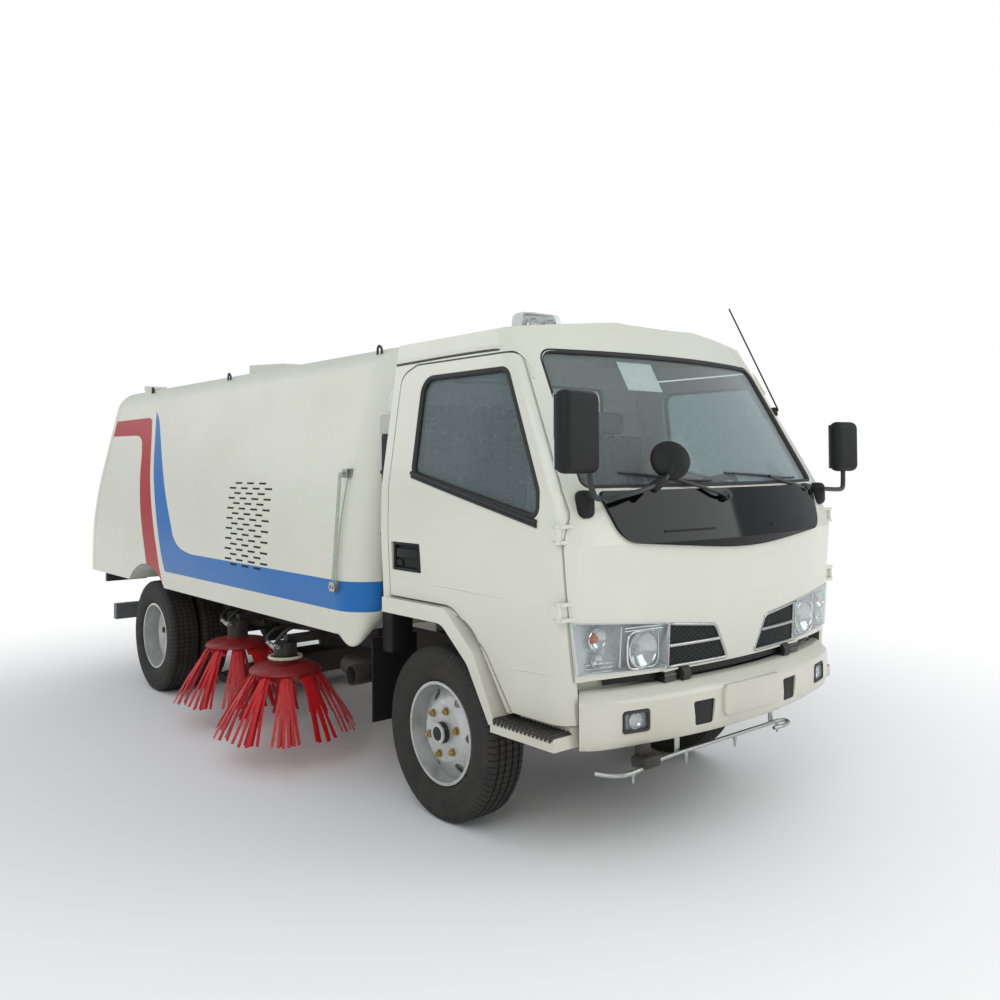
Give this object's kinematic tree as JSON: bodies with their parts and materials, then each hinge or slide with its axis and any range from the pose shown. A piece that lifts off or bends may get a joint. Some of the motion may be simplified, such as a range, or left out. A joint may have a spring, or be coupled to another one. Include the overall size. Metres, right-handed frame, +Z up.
{
  "type": "street sweeper truck",
  "caption": "Forward-control street sweeper truck with a tilting cab, a closed steel sweeper body with a rear door, side brooms on lowering arms and a suction nozzle.",
  "frame": {"origin": "on the ground, midway between the bumper's nose and the rear door's outer face", "axes": "+X forward, +Y to the truck's left, +Z up"},
  "size_m": [5.6, 2.6278, 2.4119],
  "materials": {
    "tyre_rubber": "dusty black tread rubber",
    "rim_silver": "silver paint, dulled",
    "chassis_black": "satin black frame paint",
    "engine_iron": "plain cast iron",
    "cream_paint": "gloss cream-white paint",
    "window_glass": "bluish-grey glass",
    "gloss_black": "gloss black panel",
    "clear_lamp": "clear lamp cover",
    "grille_silver": "silver frame, black mesh",
    "black_plastic": "grained black plastic",
    "seat_cloth": "dark grey cloth",
    "guard_grey": "grey paint",
    "pipe_steel": "stainless pipe",
    "bristle_red": "saturated red bristles"
  },
  "bodies": {
    "chassis": {"chassis_frame": "chassis_black", "front_axle": "chassis_black", "rear_axle": "chassis_black", "leaf_springs": "chassis_black", "engine_block": "engine_iron", "drive_shaft": "chassis_black", "bumper": "cream_paint", "box_shell": "cream_paint", "roof_hatch": "cream_paint", "auxiliary_engine": "engine_iron", "level_gauge": "window_glass", "air_intake": "black_plastic", "arm_brackets": "chassis_black", "suction_duct": "chassis_black", "mud_flaps": "black_plastic", "fuel_tank": "chassis_black", "exhaust_pipe": "chassis_black", "rear_guard": "guard_grey", "lamps": "clear_lamp", "spray_bar": "pipe_steel"},
    "cab": {"cab_shell": "cream_paint", "front_panel": "gloss_black", "headlamps": "clear_lamp", "grilles": "grille_silver", "windscreen": "window_glass", "rear_window": "window_glass", "wheel_flares": "cream_paint", "mirrors": "black_plastic", "wipers": "black_plastic", "beacon": "clear_lamp", "antenna": "black_plastic", "seats": "seat_cloth", "dashboard": "black_plastic", "steering_wheel": "black_plastic"},
    "right_door": {"door_right": "cream_paint", "door_glass_right": "window_glass"},
    "left_door": {"door_left": "cream_paint", "door_glass_left": "window_glass"},
    "right_knuckle": {"knuckle_right": "chassis_black"},
    "left_knuckle": {"knuckle_left": "chassis_black"},
    "front_right_wheel": {"tyre_front_right": "tyre_rubber", "rim_front_right": "rim_silver"},
    "front_left_wheel": {"tyre_front_left": "tyre_rubber", "rim_front_left": "rim_silver"},
    "rear_right_wheels": {"tyre_rear_right": "tyre_rubber", "rim_rear_right": "rim_silver"},
    "rear_left_wheels": {"tyre_rear_left": "tyre_rubber", "rim_rear_left": "rim_silver"},
    "rear_door": {"tailgate": "cream_paint"},
    "nozzle": {"suction_nozzle": "chassis_black"},
    "front_right_arm": {"broom_arm_front_right": "chassis_black"},
    "front_right_broom": {"broom_front_right": "bristle_red"},
    "front_left_arm": {"broom_arm_front_left": "chassis_black"},
    "front_left_broom": {"broom_front_left": "bristle_red"},
    "rear_right_arm": {"broom_arm_rear_right": "chassis_black"},
    "rear_right_broom": {"broom_rear_right": "bristle_red"},
    "rear_left_arm": {"broom_arm_rear_left": "chassis_black"},
    "rear_left_broom": {"broom_rear_left": "bristle_red"}
  },
  "joints": [
    {"name": "cab_tilt", "type": "hinge", "parent": "chassis", "child": "cab", "pos_m": [2.707, 0, 0.75], "axis": [0, 1, 0], "range_deg": [0, 45]},
    {"name": "right_door_swing", "type": "hinge", "parent": "cab", "child": "right_door", "pos_m": [2.608, -0.933, 1.185], "axis": [0, 0, 1], "range_deg": [0, 65]},
    {"name": "left_door_swing", "type": "hinge", "parent": "cab", "child": "left_door", "pos_m": [2.608, 0.933, 1.185], "axis": [0, 0, -1], "range_deg": [0, 65]},
    {"name": "right_steering", "type": "hinge", "parent": "chassis", "child": "right_knuckle", "pos_m": [1.722, -0.625, 0.388], "axis": [0, 0, 1], "range_deg": [-32, 32]},
    {"name": "left_steering", "type": "hinge", "parent": "chassis", "child": "left_knuckle", "pos_m": [1.722, 0.625, 0.388], "axis": [0, 0, 1], "range_deg": [-32, 32]},
    {"name": "front_right_wheel_spin", "type": "hinge", "parent": "right_knuckle", "child": "front_right_wheel", "pos_m": [1.722, -0.753, 0.388], "axis": [0, 1, 0], "continuous": true},
    {"name": "front_left_wheel_spin", "type": "hinge", "parent": "left_knuckle", "child": "front_left_wheel", "pos_m": [1.722, 0.753, 0.388], "axis": [0, 1, 0], "continuous": true},
    {"name": "rear_right_wheels_spin", "type": "hinge", "parent": "chassis", "child": "rear_right_wheels", "pos_m": [-1.578, -0.733, 0.388], "axis": [0, 1, 0], "continuous": true},
    {"name": "rear_left_wheels_spin", "type": "hinge", "parent": "chassis", "child": "rear_left_wheels", "pos_m": [-1.578, 0.733, 0.388], "axis": [0, 1, 0], "continuous": true},
    {"name": "rear_door_lift", "type": "hinge", "parent": "chassis", "child": "rear_door", "pos_m": [-2.739, 0, 2.248], "axis": [0, 1, 0], "range_deg": [0, 80]},
    {"name": "nozzle_lower", "type": "slide", "parent": "chassis", "child": "nozzle", "axis": [0, 0, -1], "range_m": [0, 0.08]},
    {"name": "front_right_arm_lower", "type": "hinge", "parent": "chassis", "child": "front_right_arm", "pos_m": [0.432, -0.43, 0.64], "axis": [1, 0, 0], "range_deg": [0, 9]},
    {"name": "front_right_broom_spin", "type": "hinge", "parent": "front_right_arm", "child": "front_right_broom", "pos_m": [0.432, -0.93, 0.5], "axis": [0, 0, 1], "continuous": true},
    {"name": "front_left_arm_lower", "type": "hinge", "parent": "chassis", "child": "front_left_arm", "pos_m": [0.432, 0.43, 0.64], "axis": [-1, 0, 0], "range_deg": [0, 9]},
    {"name": "front_left_broom_spin", "type": "hinge", "parent": "front_left_arm", "child": "front_left_broom", "pos_m": [0.432, 0.93, 0.5], "axis": [0, 0, 1], "continuous": true},
    {"name": "rear_right_arm_lower", "type": "hinge", "parent": "chassis", "child": "rear_right_arm", "pos_m": [-0.438, -0.43, 0.64], "axis": [1, 0, 0], "range_deg": [0, 9]},
    {"name": "rear_right_broom_spin", "type": "hinge", "parent": "rear_right_arm", "child": "rear_right_broom", "pos_m": [-0.438, -0.812, 0.5], "axis": [0, 0, 1], "continuous": true},
    {"name": "rear_left_arm_lower", "type": "hinge", "parent": "chassis", "child": "rear_left_arm", "pos_m": [-0.438, 0.43, 0.64], "axis": [-1, 0, 0], "range_deg": [0, 9]},
    {"name": "rear_left_broom_spin", "type": "hinge", "parent": "rear_left_arm", "child": "rear_left_broom", "pos_m": [-0.438, 0.812, 0.5], "axis": [0, 0, 1], "continuous": true}
  ],
  "couplings": [
    {"joint": "left_steering", "follows": "right_steering", "ratio": 1}
  ]
}
